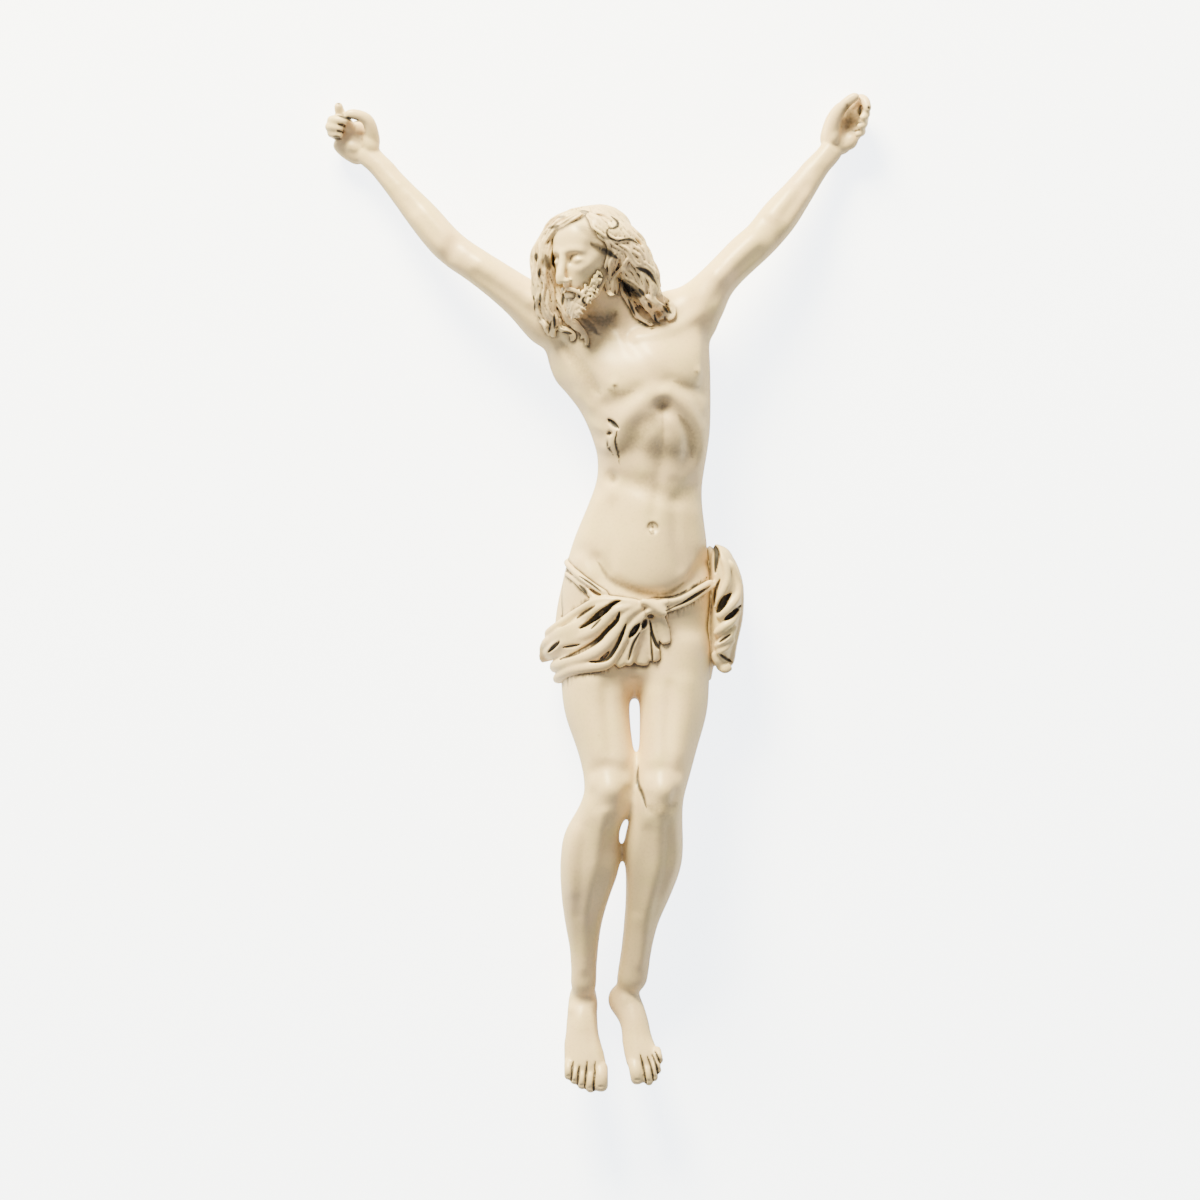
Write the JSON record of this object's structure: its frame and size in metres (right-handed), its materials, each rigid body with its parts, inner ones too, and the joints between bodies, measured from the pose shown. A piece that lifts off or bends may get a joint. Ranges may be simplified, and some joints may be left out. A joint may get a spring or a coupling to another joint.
{
  "type": "crucifix figure",
  "caption": "Glazed ceramic figure for a crucifix, arms raised in a wide V, head bowed to its right, loincloth knotted at the hips; lies flat on its back.",
  "frame": {"origin": "on the flat at the back of the hips, where the figure rests", "axes": "+Z is the figure's front, upwards as it lies; +Y towards its head; +X towards its left hand"},
  "size_m": [0.2197, 0.4016, 0.0588],
  "materials": {
    "glazed_body": "cream gloss glaze with an umber wash left in the hollows of hair, beard, cloth, fingers and toes"
  },
  "bodies": {
    "root": {"corpus": "glazed_body"}
  },
  "joints": []
}
